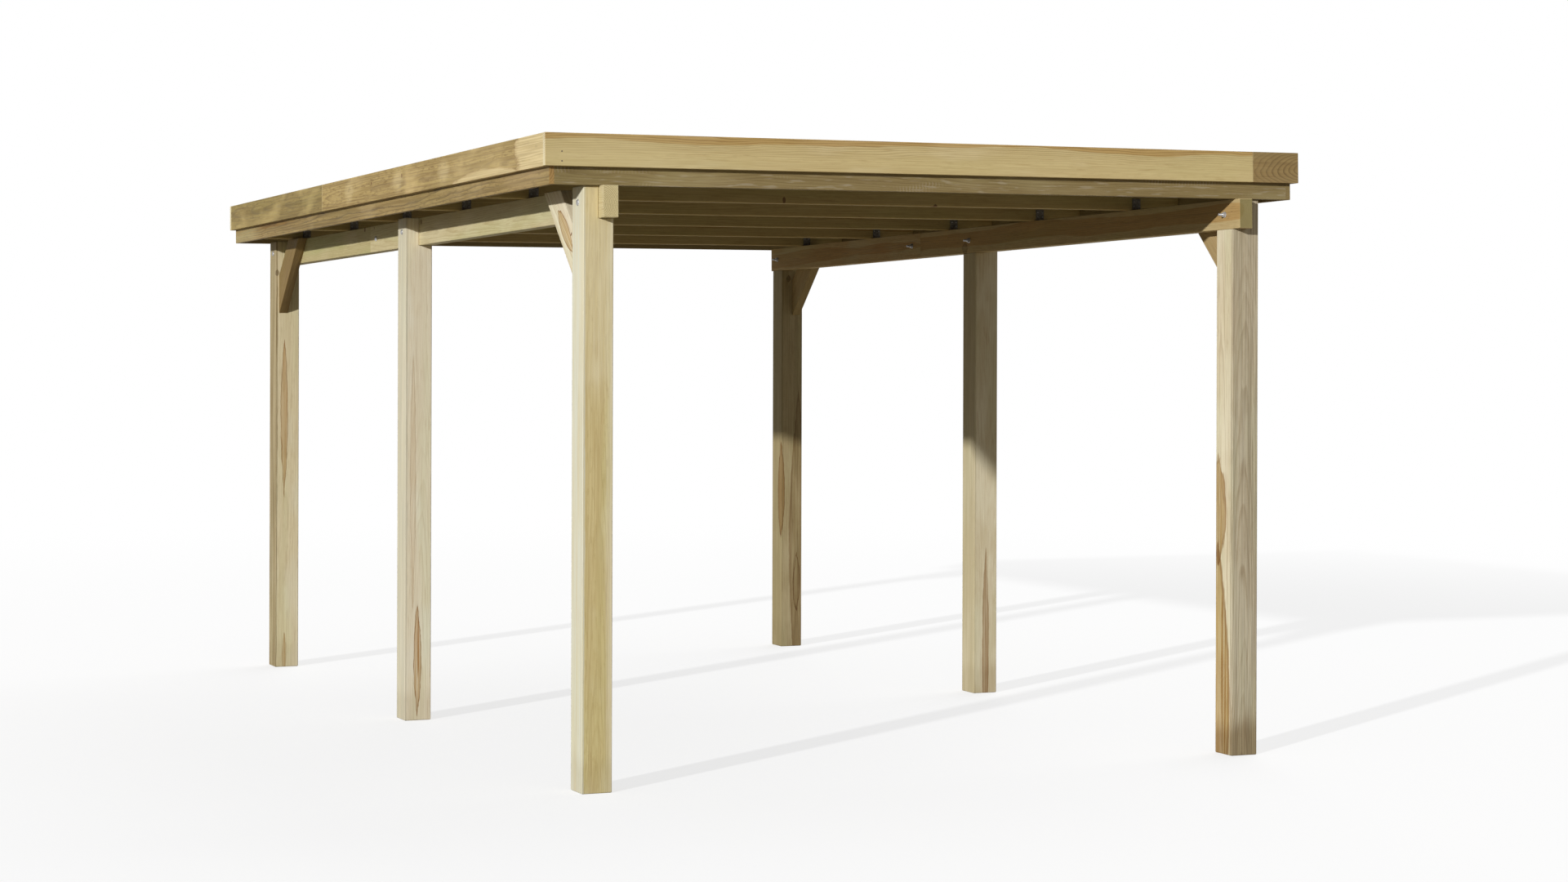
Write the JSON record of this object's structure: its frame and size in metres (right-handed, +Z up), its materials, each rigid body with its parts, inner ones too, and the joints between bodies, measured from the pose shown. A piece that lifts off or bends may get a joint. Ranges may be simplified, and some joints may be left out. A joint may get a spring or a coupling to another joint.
{
  "type": "timber carport",
  "caption": "Open timber carport on square notched posts, with spliced side beams, knee braces, rafters on brackets, boarded roof edges and a ribbed sheet roof falling to the rear.",
  "frame": {"origin": "centre of the footprint on the floor", "axes": "+X to the right of a viewer facing the entrance, +Y from the entrance towards the rear along the beams, +Z up"},
  "size_m": [3.25, 4.7688, 2.4409],
  "materials": {
    "post_timber": "planed, pressure treated, matt",
    "beam_timber": "planed, matt",
    "rafter_timber": "sawn, matt",
    "rim_timber": "sawn, matt",
    "fascia_timber": "sawn, matt",
    "roof_sheet": "satin",
    "bracket_steel": "dull zinc"
  },
  "bodies": {
    "root": {"post_front_left": "post_timber", "post_front_right": "post_timber", "post_middle_left": "post_timber", "post_middle_right": "post_timber", "post_rear_left": "post_timber", "post_rear_right": "post_timber", "beam_left_front": "beam_timber", "beam_left_rear": "beam_timber", "beam_right_front": "beam_timber", "beam_right_rear": "beam_timber", "brace_front_left": "beam_timber", "brace_front_right": "beam_timber", "brace_rear_left": "beam_timber", "brace_rear_right": "beam_timber", "rafter_1": "rafter_timber", "rafter_2": "rafter_timber", "rafter_3": "rafter_timber", "rafter_4": "rafter_timber", "rafter_5": "rafter_timber", "rim_front": "rim_timber", "rim_rear": "rim_timber", "rim_left": "rim_timber", "rim_right": "rim_timber", "fascia_front_long": "fascia_timber", "fascia_front_short": "fascia_timber", "fascia_rear_long": "fascia_timber", "fascia_rear_short": "fascia_timber", "fascia_left_front": "fascia_timber", "fascia_left_rear": "fascia_timber", "fascia_right_front": "fascia_timber", "fascia_right_rear": "fascia_timber", "roof_sheet_left": "roof_sheet", "roof_sheet_middle": "roof_sheet", "roof_sheet_right": "roof_sheet", "brackets_left": "bracket_steel", "brackets_right": "bracket_steel"}
  },
  "joints": []
}
